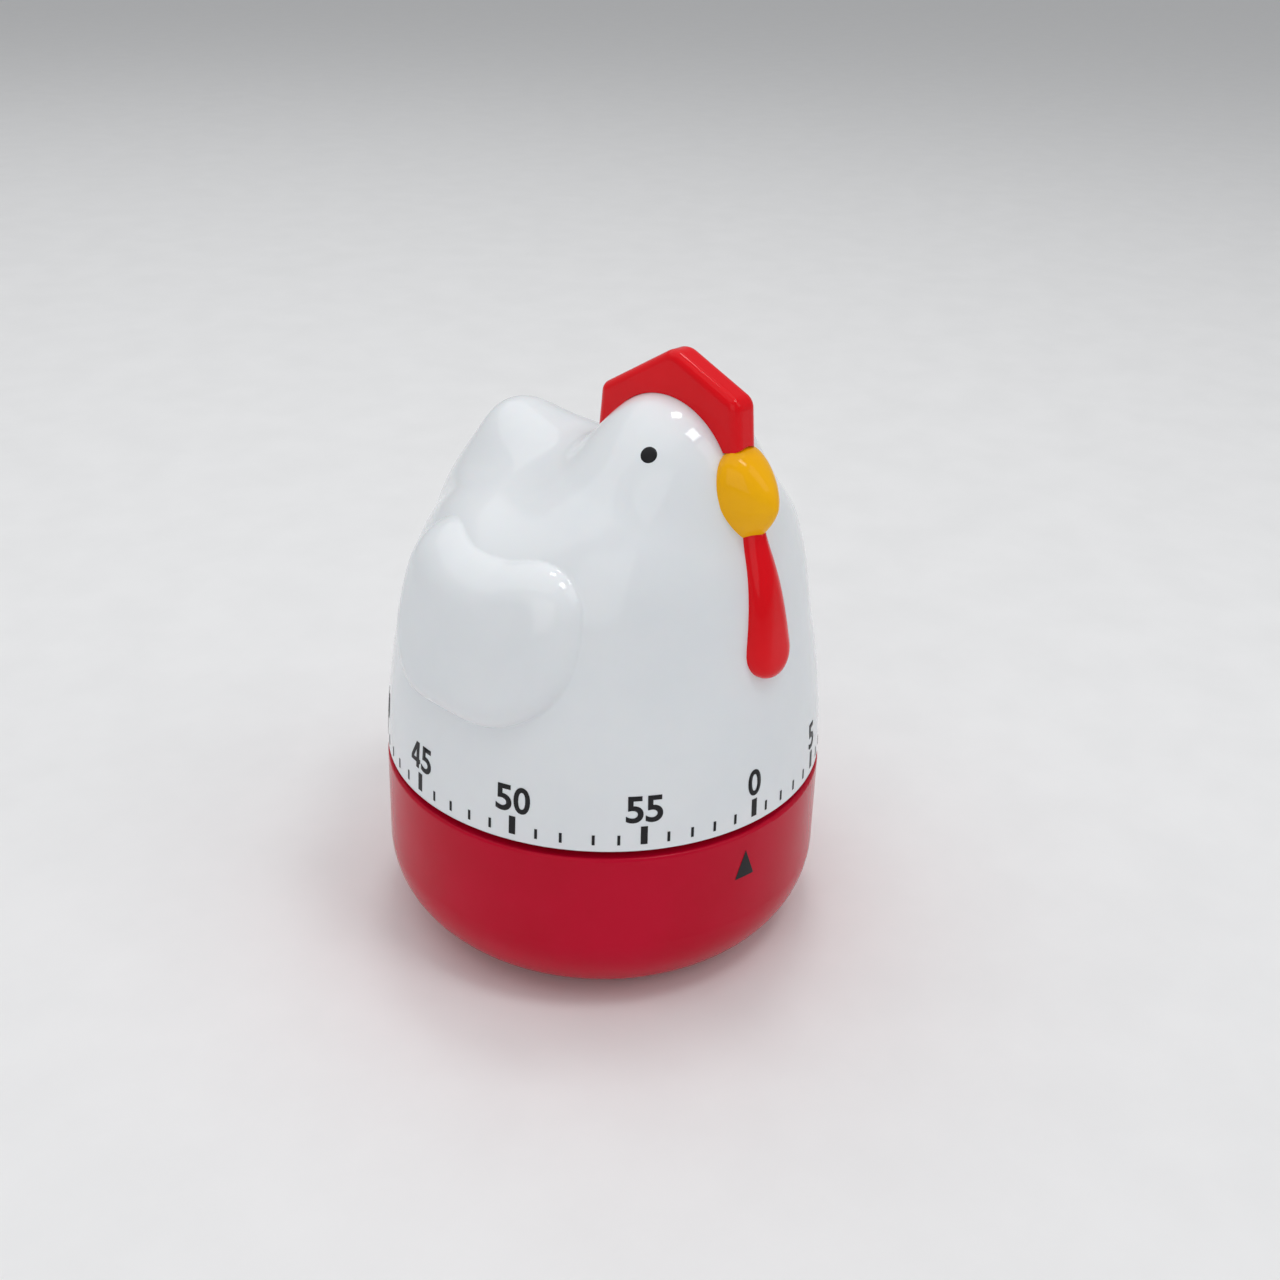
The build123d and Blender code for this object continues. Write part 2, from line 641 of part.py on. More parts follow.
# The lifting arm stands over the second wheel and ends in a pin beside the strike wheel.
lift_reach = hypot(HAMMER_PIN_REACH, HAMMER_PIN_SPREAD)
lift_angle = hammer_heading + degrees(atan2(HAMMER_PIN_SPREAD, HAMMER_PIN_REACH))
lift_pin = polar(lift_reach, lift_angle, HAMMER)
with BuildPart() as lifting_arm:
    with BuildSketch(Plane.XY.offset(LIFT_ARM_Z)):
        SlotCenterPoint(middle(HAMMER, lift_pin), lift_pin, 2 * HAMMER_ARM_WIDTH)
        with Locations(HAMMER):
            Circle(HAMMER_ARBOR_RADIUS, mode=Mode.SUBTRACT)
    extrude(amount=HAMMER_ARM_THICKNESS)
    with BuildSketch(Plane.XY.offset(LIFT_ARM_Z)):
        with Locations(lift_pin):
            Circle(PALLET_PIN_RADIUS)
    extrude(amount=STRIKE_WHEEL_Z + 2 * WHEEL_THICKNESS - LIFT_ARM_Z)
save(lifting_arm.part, "lifting_arm")

hammer_tip = polar(HAMMER_ARM_LENGTH, heading(GONG_CENTRE, HAMMER) + 90, HAMMER)
with BuildPart() as hammer:
    with BuildSketch(Plane.XY.offset(HAMMER_ARM_Z)):
        SlotCenterPoint(middle(HAMMER, hammer_tip), hammer_tip, 2 * HAMMER_ARM_WIDTH)
    extrude(amount=HAMMER_ARM_THICKNESS)
    with BuildSketch(Plane.XY.offset(HAMMER_HEAD_Z)):
        with Locations(hammer_tip):
            Circle(HAMMER_HEAD_RADIUS)
    extrude(amount=HAMMER_HEAD_HEIGHT)
    with BuildSketch(Plane.XY.offset(HAMMER_ARM_Z)):
        with Locations(HAMMER):
            Circle(HAMMER_ARBOR_RADIUS)
    extrude(amount=HAMMER_ARM_THICKNESS, mode=Mode.SUBTRACT)
save(hammer.part, "hammer")

with BuildPart() as gong:
    with BuildSketch(Plane((*GONG_CENTRE, GONG_Z))):
        Circle(GONG_RADIUS)
    extrude(amount=GONG_HEIGHT)
    fillet(gong.faces().sort_by(Axis.Z)[0].edges(), GONG_ROUNDING)
    offset(amount=-GONG_WALL, openings=gong.faces().sort_by(Axis.Z)[-1])
    with BuildSketch(Plane((*GONG_CENTRE, GONG_Z))):
        Circle(SCREW_RADIUS + SCREW_CLEARANCE)
    extrude(amount=GONG_WALL, mode=Mode.SUBTRACT)
save(gong.part, "gong")

with BuildPart() as gong_post:
    with BuildSketch(Plane((*GONG_CENTRE, GONG_Z + GONG_WALL))):
        Circle(GONG_POST_RADIUS)
    extrude(amount=LOWER_PLATE_Z - GONG_Z - GONG_WALL)
    with BuildSketch(Plane((*GONG_CENTRE, LOWER_PLATE_Z))):
        Circle(SCREW_RADIUS)
    extrude(amount=PLATE_THICKNESS)
    with BuildSketch(Plane((*GONG_CENTRE, GONG_Z + GONG_WALL))):
        Circle(SCREW_RADIUS)
    extrude(amount=GONG_POST_DEPTH, mode=Mode.SUBTRACT)
save(gong_post.part, "gong_post")

gong_screw = screw_group(
    [GONG_CENTRE],
    GONG_Z - GONG_HEAD_HEIGHT,
    GONG_HEAD_HEIGHT,
    GONG_Z + GONG_WALL + GONG_POST_DEPTH,
)
save(gong_screw, "gong_screw")

# ---- release cam and lever: the nose drops into the notch when the time is up ----
with BuildPart() as release_cam:
    with BuildSketch(Plane.XY.offset(CAM_Z)):
        Circle(CAM_RADIUS)
        with Locations(Location(polar(CAM_NOTCH_FLOOR, NOSE_ANGLE), NOSE_ANGLE)):
            Rectangle(
                CAM_RADIUS,
                CAM_NOTCH_WIDTH,
                align=(Align.MIN, Align.CENTER),
                mode=Mode.SUBTRACT,
            )
        Circle(ARBOR_RADIUS, mode=Mode.SUBTRACT)
    extrude(amount=CAM_THICKNESS)
save(release_cam.part, "release_cam")

with BuildPart() as release_lever:
    with BuildSketch(Plane.XY.offset(CAM_Z)):
        SlotCenterPoint(middle(NOSE, RELEASE), RELEASE, 2 * NOSE_RADIUS)
        with Locations(RELEASE):
            Circle(RELEASE_EYE)
            Circle(RELEASE_STUD_RADIUS + RUNNING_GAP, mode=Mode.SUBTRACT)
    extrude(amount=CAM_THICKNESS)
save(release_lever.part, "release_lever")

with BuildPart() as release_stud:
    with BuildSketch(Plane((*RELEASE, UPPER_PLATE_Z))):
        Circle(RELEASE_STUD_RADIUS)
    extrude(amount=CAM_Z + CAM_THICKNESS + RUNNING_GAP - UPPER_PLATE_Z)
    with BuildSketch(Plane((*RELEASE, CAM_Z + CAM_THICKNESS + RUNNING_GAP))):
        Circle(RELEASE_EYE)
    extrude(amount=STUD_HEAD)
save(release_stud.part, "release_stud")

# ---- stop: an arm on the arbor meets a pin on the upper plate at both ends of the turn ----
with BuildPart() as stop_arm:
    with BuildSketch(Plane.XY.offset(STOP_ARM_Z)):
        Circle(ARBOR_COLLAR_RADIUS)
        with Locations(Location(CENTRE, STOP_PIN_ANGLE - STOP_LEAD)):
            Rectangle(
                STOP_CIRCLE + STOP_PIN_RADIUS,
                STOP_ARM_WIDTH,
                align=(Align.MIN, Align.CENTER),
            )
        Circle(ARBOR_RADIUS, mode=Mode.SUBTRACT)
    extrude(amount=STOP_ARM_THICKNESS)
save(stop_arm.part, "stop_arm")

with BuildPart() as stop_pin:
    with BuildSketch(Plane((*STOP_PIN, UPPER_PLATE_Z))):
        Circle(STOP_PIN_RADIUS)
    extrude(amount=STOP_PIN_TOP_Z - UPPER_PLATE_Z)
save(stop_pin.part, "stop_pin")

# ---- hen shell ----
def egg(centre, size, grow=0.0, lean=0.0):
    """An ellipsoid with these half sizes, grown all round, leaning about the Y axis."""
    with BuildPart() as ball:
        Sphere(1)
        scale(by=tuple(half + grow for half in size))
    return Pos(*centre) * Rot(0, lean, 0) * ball.part


def body_width(z):
    """Half the width of the hen's body at height z: a tall dome with a flatter back on top."""
    if z <= SHOULDER_Z:
        return DOME_RADIUS * sqrt(1 - ((z - DOME_CENTRE_Z) / DOME_HALF_HEIGHT) ** 2)
    shoulder_width = body_width(SHOULDER_Z)
    shoulder_rise = (SHOULDER_Z - BACK_CENTRE_Z) / BACK_HALF_HEIGHT
    rise = (z - BACK_CENTRE_Z) / BACK_HALF_HEIGHT
    return shoulder_width * sqrt((1 - rise**2) / (1 - shoulder_rise**2))


def hen_body(grow):
    """The solid of revolution inside the hen's outline, grown or shrunk all round."""
    top_z = BACK_CENTRE_Z + BACK_HALF_HEIGHT
    height = top_z - HEN_RIM_Z
    sides = [(body_width(z) + grow, z + grow * (z - HEN_RIM_Z) / height) for z in BODY_LEVELS]
    with BuildPart() as body:
        with BuildSketch(Plane.XZ):
            with BuildLine():
                Spline(*sides, (0, top_z + grow), tangents=((0, 1), (-1, 0)))
                Polyline((0, top_z + grow), (0, HEN_RIM_Z), sides[0])
            make_face()
        revolve(axis=Axis.Z)
    return body.part


def comb_tab(gap):
    """The tongue that holds the comb in its slot, or the slot itself with a gap round it."""
    height = COMB_TAB_TOP_Z - COMB_TAB_FOOT_Z
    with BuildPart() as tab:
        with BuildSketch(Plane((0, COMB_TAB_Y, COMB_TAB_FOOT_Z - gap))):
            Rectangle(COMB_TAB_WIDTH + 2 * gap, COMB_TAB_LENGTH + 2 * gap)
        extrude(amount=height)
    return tab.part


def peg(radius, z, start_y, end_y):
    """A round peg along Y at this height, for the beak or the wattle, or for its hole."""
    with BuildPart() as rod:
        with BuildSketch(Plane((0, end_y, z), x_dir=(1, 0, 0), z_dir=(0, -1, 0))):
            Circle(radius)
        extrude(amount=end_y - start_y)
    return rod.part


with BuildPart() as tail:
    with BuildSketch(Plane.YZ.offset(-TAIL_HALF_WIDTH)):
        with BuildLine():
            FilletPolyline(*TAIL_OUTLINE, radius=TAIL_CORNERS, close=True)
        make_face()
    extrude(amount=2 * TAIL_HALF_WIDTH)
    tail_sides = tail.faces().sort_by(Axis.X)
    fillet(tail_sides[0].edges() + tail_sides[-1].edges(), TAIL_ROUNDING)

outside = hen_body(0)
cavity = hen_body(-HEN_WALL)
head = egg(HEAD, HEAD_SIZE)
head_cavity = egg(HEAD, HEAD_SIZE, -HEN_WALL)
wings = [egg((x, WING_Y, WING_Z), WING_SIZE, lean=lean) for x, lean in WING_SIDES]
comb_slot = comb_tab(INSERT_GAP)
beak_hole = peg(BEAK_PEG_RADIUS + INSERT_GAP, BEAK[2], BEAK_PEG_START_Y, BEAK_PEG_END_Y)
wattle_holes = [
    peg(WATTLE_PEG_RADIUS + INSERT_GAP, z, -DOME_RADIUS, WATTLE_PEG_END_Y) for z in WATTLE_PEGS_Z
]
with BuildPart() as hen_shell:
    add(outside)
    add(head)
    add(tail.part)
    add(wings)
    add(cavity, mode=Mode.SUBTRACT)
    add(head_cavity, mode=Mode.SUBTRACT)
    with BuildSketch(Plane.XY.offset(DRIVE_DISC_Z + DRIVE_DISC_THICKNESS)):
        with Locations(*DRIVE_SCREWS):
            Circle(BOSS_RADIUS)
        with PolarLocations(DRIVE_SCREW_CIRCLE, len(PILLAR_ANGLES), start_angle=PILLAR_ANGLES[0]):
            Rectangle(RIB_LENGTH, RIB_THICKNESS, align=(Align.MIN, Align.CENTER))
    extrude(amount=SHELL_BOSS_TOP_Z - DRIVE_DISC_Z - DRIVE_DISC_THICKNESS)
    with BuildSketch(Plane.XY.offset(DRIVE_DISC_Z + DRIVE_DISC_THICKNESS)):
        with Locations(*DRIVE_SCREWS):
            Circle(SCREW_RADIUS)
    extrude(amount=SCREW_GRIP, mode=Mode.SUBTRACT)
    add(comb_slot, mode=Mode.SUBTRACT)
    add(beak_hole, mode=Mode.SUBTRACT)
    add(wattle_holes, mode=Mode.SUBTRACT)
save(hen_shell.part, "hen_shell")

# ---- comb: a crest with a tongue that sits in the slot on the head ----
clear_of_head = egg(HEAD, HEAD_SIZE, INSERT_GAP)
clear_of_body = hen_body(INSERT_GAP)
clear_of_beak = egg(BEAK, BEAK_SIZE, INSERT_GAP)
tongue = comb_tab(0)
with BuildPart() as comb:
    with BuildSketch(Plane.YZ.offset(-COMB_HALF_WIDTH)):
        with BuildLine():
            FilletPolyline(*COMB_OUTLINE, radius=COMB_CORNERS, close=True)
        make_face()
    extrude(amount=2 * COMB_HALF_WIDTH)
    comb_sides = comb.faces().sort_by(Axis.X)
    fillet(comb_sides[0].edges() + comb_sides[-1].edges(), COMB_ROUNDING)
    add(clear_of_head, mode=Mode.SUBTRACT)
    add(clear_of_body, mode=Mode.SUBTRACT)
    add(clear_of_beak, mode=Mode.SUBTRACT)
    add(tongue)
save(comb.part, "comb")

# ---- beak ----
beak_egg = egg(BEAK, BEAK_SIZE)
beak_peg = peg(BEAK_PEG_RADIUS, BEAK[2], BEAK_PEG_START_Y, BEAK_PEG_END_Y)
with BuildPart() as beak:
    add(beak_egg)
    add(clear_of_head, mode=Mode.SUBTRACT)
    add(beak_peg)
save(beak.part, "beak")

# ---- wattle ----
wattle_front = hen_body(WATTLE_RISE)
wattle_pegs = [
    peg(WATTLE_PEG_RADIUS, z, -body_width(z) - WATTLE_RISE / 2, WATTLE_PEG_END_Y)
    for z in WATTLE_PEGS_Z
]
with BuildPart() as wattle:
    with BuildSketch(Plane.XZ):
        with Locations((0, WATTLE_Z)):
            Circle(WATTLE_RADIUS)
        with BuildLine():
            Polyline(
                (-WATTLE_RADIUS, WATTLE_Z),
                (WATTLE_RADIUS, WATTLE_Z),
                (WATTLE_TOP_HALF_WIDTH, WATTLE_TOP_Z),
                (-WATTLE_TOP_HALF_WIDTH, WATTLE_TOP_Z),
                close=True,
            )
        make_face()
    extrude(amount=2 * DOME_RADIUS)
    add(wattle_front, mode=Mode.INTERSECT)
    add(clear_of_body, mode=Mode.SUBTRACT)
    add(clear_of_head, mode=Mode.SUBTRACT)
    add(wattle_pegs)
save(wattle.part, "wattle")

# ---- drive disc: it closes the hen from below and grips the flat of the main arbor ----
with BuildPart() as drive_disc:
    with BuildSketch(Plane.XY.offset(DRIVE_DISC_Z)):
        Circle(DRIVE_DISC_RADIUS)
    extrude(amount=DRIVE_DISC_THICKNESS)
    with BuildSketch(Plane.XY.offset(DRIVE_HUB_Z)):
        Circle(DRIVE_HUB_RADIUS)
    extrude(amount=DRIVE_HUB_TOP_Z - DRIVE_HUB_Z)
    with BuildSketch(Plane.XY.offset(DRIVE_HUB_Z)):
        Circle(ARBOR_RADIUS + RUNNING_GAP)
        with Locations((ARBOR_FLAT + RUNNING_GAP, 0)):
            Rectangle(
                ARBOR_RADIUS,
                2 * ARBOR_RADIUS,
                align=(Align.MIN, Align.CENTER),
                mode=Mode.SUBTRACT,
            )
    extrude(amount=ARBOR_TOP_Z - DRIVE_HUB_Z, mode=Mode.SUBTRACT)
    with BuildSketch(Plane.XY.offset(DRIVE_DISC_Z)):
        with Locations(*DRIVE_SCREWS):
            Circle(SCREW_RADIUS + SCREW_CLEARANCE)
    extrude(amount=DRIVE_DISC_THICKNESS, mode=Mode.SUBTRACT)
save(drive_disc.part, "drive_disc")

drive_screws = screw_group(
    DRIVE_SCREWS,
    DRIVE_DISC_Z - SCREW_HEAD_HEIGHT,
    SCREW_HEAD_HEIGHT,
    DRIVE_DISC_Z + DRIVE_DISC_THICKNESS + SCREW_GRIP,
)
save(drive_screws, "drive_screws")
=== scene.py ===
import json
from math import cos, pi, radians, sin, sqrt

import bmesh
import bpy
import numpy as np
from mathutils import Matrix, Vector

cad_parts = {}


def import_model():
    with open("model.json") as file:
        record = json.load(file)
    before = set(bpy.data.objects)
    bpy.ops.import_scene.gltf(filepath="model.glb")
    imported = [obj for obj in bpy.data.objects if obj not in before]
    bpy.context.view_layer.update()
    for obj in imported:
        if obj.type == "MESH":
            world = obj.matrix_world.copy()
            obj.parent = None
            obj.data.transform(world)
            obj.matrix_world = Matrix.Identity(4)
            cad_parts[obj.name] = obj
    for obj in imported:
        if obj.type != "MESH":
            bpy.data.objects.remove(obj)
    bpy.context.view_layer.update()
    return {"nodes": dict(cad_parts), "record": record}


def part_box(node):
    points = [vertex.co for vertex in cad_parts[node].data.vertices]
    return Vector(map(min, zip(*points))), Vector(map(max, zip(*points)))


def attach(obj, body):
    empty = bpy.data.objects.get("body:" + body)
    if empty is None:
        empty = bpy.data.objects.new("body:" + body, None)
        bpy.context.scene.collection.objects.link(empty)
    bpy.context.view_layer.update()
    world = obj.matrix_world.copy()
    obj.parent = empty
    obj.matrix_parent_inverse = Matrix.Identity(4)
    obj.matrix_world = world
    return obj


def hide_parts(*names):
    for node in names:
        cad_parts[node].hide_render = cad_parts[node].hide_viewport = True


# The looks of a hen-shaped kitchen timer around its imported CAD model. All lengths are in metres.
# The hen, beak and wattle are sculpted as distance fields; the rest is the CAD with finishes.
MM = 0.001

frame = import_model()

HEN_BODY = "hen"
BASE_BODY = "base"
RIM_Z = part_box("hen_shell")[0][2]
GROUND_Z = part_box("base_shell")[0][2]


# ---------------------------------------------------------------- distance fields
def smooth_min(a, b, blend):
    """The union of two distances, with a fillet about this wide."""
    share = np.clip(0.5 + 0.5 * (b - a) / blend, 0, 1)
    return b * (1 - share) + a * share - blend * share * (1 - share)


def smooth_max(a, b, blend):
    """The intersection of two distances, with a rounded edge."""
    return -smooth_min(-a, -b, blend)


def ellipsoid(points, centre, half_sizes):
    """About the distance to an ellipsoid."""
    scaled = (points - np.array(centre)) / np.array(half_sizes)
    reach = np.linalg.norm(scaled, axis=-1)
    slope = np.linalg.norm(scaled / np.array(half_sizes), axis=-1)
    return reach * (reach - 1) / np.maximum(slope, 1e-9)


def beyond_line(across, up, start, end):
    """The distance outside the straight line from start to end."""
    run, rise = end[0] - start[0], end[1] - start[1]
    length = sqrt(run * run + rise * rise)
    return ((across - start[0]) * rise - (up - start[1]) * run) / length


# Sizes of the hen in millimetres. X is across the hen, -Y is forward and Z is up.
DOME = ((0, 0, 25.6), (34.3, 34.3, 64.9))
BACK = ((0, 0, 48.0), (36.0, 36.0, 27.4))
HEAD = ((0, -12.6, 75.0), (12.7, 12.7, 13.2))
NECK = ((0, -11.7, 63.0), (20.5, 15.8, 19.2))
TAIL_REAR = ((35.9, 57.6), (22.0, 79.9))
TAIL_UNDER = ((29.4, 43.0), (35.4, 57.6))
TAIL_TOP = ((-10.0, 73.3), (24.8, 81.7))
TAIL_HALF_WIDTH = 8.0
TAIL_FRONT_Y = -10.0
WING_LOBES = (((-6.6, 56.6), 10.9), ((4.4, 56.6), 10.6), ((-10.4, 61.6), 6.9), ((10.6, 64.0), 3.6))
WING_BLENDS = (5.0, 2.0, 7.0)
WING_EDGE = 4.2
WING_RISE = 2.7
WING_INNER_X = 12.0


def tail(points):
    """A rounded ridge that runs back from the neck and ends in a sloping face."""
    across = np.sqrt(points[..., 0] ** 2 + 4)
    along, up = points[..., 1], points[..., 2]
    shape = smooth_max(
        beyond_line(along, up, *TAIL_REAR), -beyond_line(along, up, *TAIL_TOP), 4.5
    )
    shape = smooth_max(shape, across - TAIL_HALF_WIDTH, 9.0)
    shape = smooth_max(shape, beyond_line(along, up, *TAIL_UNDER), 6.0)
    return smooth_max(shape, TAIL_FRONT_Y - along, 3.0)


def wing_rise(points):
    """How far the wings stand out of the flanks: a kidney-shaped cushion on each side."""
    along, up = points[..., 1], points[..., 2]
    lobes = [np.hypot(along - c[0], up - c[1]) - r for c, r in WING_LOBES]
    outline = lobes[0]
    for lobe, blend in zip(lobes[1:], WING_BLENDS):
        outline = smooth_min(outline, lobe, blend)
    share = np.clip(-outline / WING_EDGE, 0, 1)
    rise = WING_RISE * np.sqrt(np.maximum(1 - (1 - share) ** 2, 0))
    return np.where(np.abs(points[..., 0]) > WING_INNER_X, rise, 0)


def hen(points):
    """The distance to the white hen, in millimetres."""
    shape = smooth_max(ellipsoid(points, *DOME), ellipsoid(points, *BACK), 3.5)
    shape = np.where(points[..., 2] < BACK[0][2], ellipsoid(points, *DOME), shape)
    shape = smooth_min(shape, tail(points), 7.0)
    shape = smooth_min(shape, ellipsoid(points, *NECK), 8.0)
    shape = shape - wing_rise(points)
    return smooth_min(shape, ellipsoid(points, *HEAD), 4.0)


BEAK_CENTRE = (0, -24.4, 75.8)
BEAK_HALF_WIDTH = 4.9
BEAK_REACH = 6.6
BEAK_TOP = (7.4, 2.6)
BEAK_FOOT = (7.2, 1.5)
BEAK_TAPER = 1.45
BEAK_SEARCH = 12


def beak(points):
    """Full and square at the top, narrow at the foot, with a soft point; below zero inside."""
    offset = points - np.array(BEAK_CENTRE)
    upper = offset[..., 2] > 0
    height = np.where(upper, BEAK_TOP[0], BEAK_FOOT[0])
    roundness = np.where(upper, BEAK_TOP[1], BEAK_FOOT[1])
    across = np.abs(offset[..., 0]) / BEAK_HALF_WIDTH
    along = np.abs(offset[..., 1]) / BEAK_REACH
    up = np.abs(offset[..., 2]) / height
    ring = (across**roundness + up**roundness) ** (BEAK_TAPER / roundness)
    return ring + along**BEAK_TAPER - 1


WATTLE_LOW = (55.1, 4.2)
WATTLE_HIGH = (71.5, 1.8)
WATTLE_RISE = 2.2
WATTLE_EDGE = 2.6
WATTLE_SINK = (0, 0.4, 0)
WATTLE_SEARCH = 20


def wattle_outline(across, up):
    """The distance to a drop shape: a round foot joined to a smaller round top."""
    length = WATTLE_HIGH[0] - WATTLE_LOW[0]
    lean = (WATTLE_LOW[1] - WATTLE_HIGH[1]) / length
    drop = sqrt(1 - lean * lean)
    side, rise = np.abs(across), up - WATTLE_LOW[0]
    along = rise * drop - side * lean
    flank = side * drop + rise * lean - WATTLE_LOW[1]
    foot = np.hypot(side, rise) - WATTLE_LOW[1]
    top = np.hypot(side, rise - length) - WATTLE_HIGH[1]
    return np.where(along < 0, foot, np.where(along > length * drop, top, flank))


def wattle(points):
    """The red wattle: a cushion that lies down the hen's chest."""
    share = np.clip(-wattle_outline(points[..., 0], points[..., 2]) / WATTLE_EDGE, 0, 1)
    rise = WATTLE_RISE * np.sqrt(np.maximum(1 - (1 - share) ** 2, 0))
    return hen(points) - rise


# ---------------------------------------------------------------- meshes
HALVINGS = 30
FAR = 60


def march(field, origins, directions, reach):
    """The points where rays from inside a field come out of it."""
    near = np.zeros(directions.shape[:-1])
    far = np.full(directions.shape[:-1], float(reach))
    for _ in range(HALVINGS):
        half = (near + far) / 2
        inside = field(origins + directions * half[..., None]) < 0
        near = np.where(inside, half, near)
        far = np.where(inside, far, half)
    return origins + directions * near[..., None]


def link(obj):
    """Adds an object to the scene."""
    bpy.context.scene.collection.objects.link(obj)
    return obj


def mesh_object(name, points, faces):
    """A smooth-shaded object from points in millimetres."""
    mesh = bpy.data.meshes.new(name)
    mesh.from_pydata([tuple(float(c) * MM for c in p) for p in points], [], faces)
    mesh.shade_smooth()
    return link(bpy.data.objects.new(name, mesh))


def wound_faces(rings, around):
    """Quads between rings of points, and a fan from the last ring to the point after it."""
    faces = []
    for ring in range(rings - 1):
        for i in range(around):
            a, b = ring * around + i, ring * around + (i + 1) % around
            faces.append((a, b, b + around, a + around))
    tip, last = rings * around, (rings - 1) * around
    faces += [(last + i, last + (i + 1) % around, tip) for i in range(around)]
    return faces


def ring_directions(around, elevation):
    """Directions at equal turns about Z, all at this elevation in radians."""
    turns = np.linspace(0, 2 * pi, around, endpoint=False)
    flat = cos(elevation)
    return np.stack([np.cos(turns) * flat, np.sin(turns) * flat, np.full(around, sin(elevation))], -1)


AROUND = 540
SIDE_RINGS = 120
TOP_RINGS = 180
INNER_COARSENESS = 6
FAN_CENTRE = (0, -2, 56.0)
SHELL_WALL = 2.2
RIM_ROUND = 0.25


def hen_rings(field, side_rings, top_rings):
    """Rings up the side of the hen, then a fan of rays over the back, tail and head."""
    rim = RIM_Z / MM
    rings = []
    for step in range(side_rings):
        share = step / side_rings
        centre = np.array((0, FAN_CENTRE[1] * share, rim + (FAN_CENTRE[2] - rim) * share))
        rings.append(march(field, centre, ring_directions(AROUND, 0), FAR))
    for step in range(top_rings):
        directions = ring_directions(AROUND, pi / 2 * step / top_rings)
        rings.append(march(field, np.array(FAN_CENTRE), directions, FAR))
    return rings, march(field, np.array(FAN_CENTRE), np.array([[0, 0, 1.0]]), FAR)


def hen_skin():
    """The white shell: an outside, a rounded rim and an inside."""
    outside, tip = hen_rings(hen, SIDE_RINGS, TOP_RINGS)
    inside, inner_tip = hen_rings(
        lambda p: hen(p) + SHELL_WALL, SIDE_RINGS // INNER_COARSENESS, TOP_RINGS // INNER_COARSENESS
    )
    narrower = 1 - RIM_ROUND / DOME[1][0]
    edge = outside[0] * (narrower, narrower, 1)
    outside[0] = outside[0] + (0, 0, RIM_ROUND)
    rings = inside[::-1] + [edge] + outside
    points = np.concatenate([*rings, tip, inner_tip])
    faces = wound_faces(len(rings), AROUND)
    low = len(rings) * AROUND + 1
    faces += [((i + 1) % AROUND, i, low) for i in range(AROUND)]
    return mesh_object("hen_skin", points, faces)


def beak_piece():
    """The yellow beak, pushed a little into the head."""
    around, rings = 96, 64
    points = []
    for step in range(1, rings):
        directions = ring_directions(around, pi * (step / rings - 0.5))
        points.append(march(beak, np.array(BEAK_CENTRE), directions, BEAK_SEARCH))
    ends = [
        march(beak, np.array(BEAK_CENTRE), np.array([[0, 0, side]]), BEAK_SEARCH)
        for side in (1.0, -1.0)
    ]
    faces = wound_faces(rings - 1, around)
    low = (rings - 1) * around + 1
    faces += [((i + 1) % around, i, low) for i in range(around)]
    return mesh_object("beak_horn", np.concatenate(points + ends), faces)


def wattle_piece():
    """The red wattle: a front that follows its field, and a back just inside the hen."""
    around, rings = 120, 26
    outline_turns = np.linspace(0, 2 * pi, around, endpoint=False)
    middle_z = (WATTLE_LOW[0] + WATTLE_HIGH[0]) / 2
    flat_origin = np.zeros((around, 2)) + (0, middle_z)
    flat_direction = np.stack([np.cos(outline_turns), np.sin(outline_turns)], -1)
    edge = march(
        lambda p: wattle_outline(p[..., 0], p[..., 1]), flat_origin, flat_direction, WATTLE_SEARCH
    )
    forward = np.array((0.0, -1.0, 0.0))
    fronts, backs = [], []
    for step in range(rings):
        share = 1 - (step / rings) ** 2
        flat = flat_origin + (edge - flat_origin) * share
        start = np.stack([flat[:, 0], np.zeros(around), flat[:, 1]], -1)
        fronts.append(march(wattle, start, np.broadcast_to(forward, start.shape), FAR))
        backs.append(march(hen, start, np.broadcast_to(forward, start.shape), FAR) + WATTLE_SINK)
    centre = np.array([[0, 0, middle_z]], float)
    tip = march(wattle, centre, forward[None], FAR)
    back_tip = march(hen, centre, forward[None], FAR) + WATTLE_SINK
    rows = backs[::-1] + fronts
    points = np.concatenate(rows + [tip, back_tip])
    faces = wound_faces(len(rows), around)
    low = len(rows) * around + 1
    faces += [((i + 1) % around, i, low) for i in range(around)]
    return mesh_object("wattle_flesh", points, faces)


# ---------------------------------------------------------------- print
PRINT_LIFT = 0.05
PRINT_STEP = 0.5
ZERO_TURN = -96.7
LATE_SHIFT = -1.78
LAST_EARLY_MINUTE = 52
MINUTES = 60
MINUTE_TURN = 360 / MINUTES
MAJOR_STEP = 5
MAJOR_TICK = (1.0, 30.2, 33.1)
MINOR_TICK = (0.42, 30.2, 31.8)
NUMERAL_FOOT_Z = 33.7
NUMERAL_HEIGHT = 4.2
NUMERAL_WIDTH = 2.5
NUMERAL_GAP = 0.3
NUMERAL_WEIGHT = 0.02
FONT_DIGITS = "0235"
ONE = (((0.72, 0), (1.44, 0), (1.44, 4.2), (0.84, 4.2), (0, 3.5), (0.3, 2.88), (0.72, 3.2)),)
FOUR_OUTSIDE = (
    (1.47, 0), (2.19, 0), (2.19, 0.82), (2.5, 0.82), (2.5, 1.5), (2.19, 1.5), (2.19, 4.2),
    (1.4, 4.2), (0, 1.5), (0, 0.82), (1.47, 0.82),
)
FOUR = (FOUR_OUTSIDE, ((1.47, 1.5), (1.47, 2.95), (0.71, 1.5)))
BASE_SIDE_RADIUS = 34


def minute_turn(minute):
    """Where a minute's mark stands round the hen, in degrees."""
    shift = LATE_SHIFT if 0 < minute <= LAST_EARLY_MINUTE else 0
    return ZERO_TURN + MINUTE_TURN * minute + shift


def hen_radius(height):
    """The radius of the hen's plain side at this height, in millimetres."""
    (_, _, middle), (radius, _, half) = DOME
    return radius * sqrt(1 - ((height - middle) / half) ** 2)


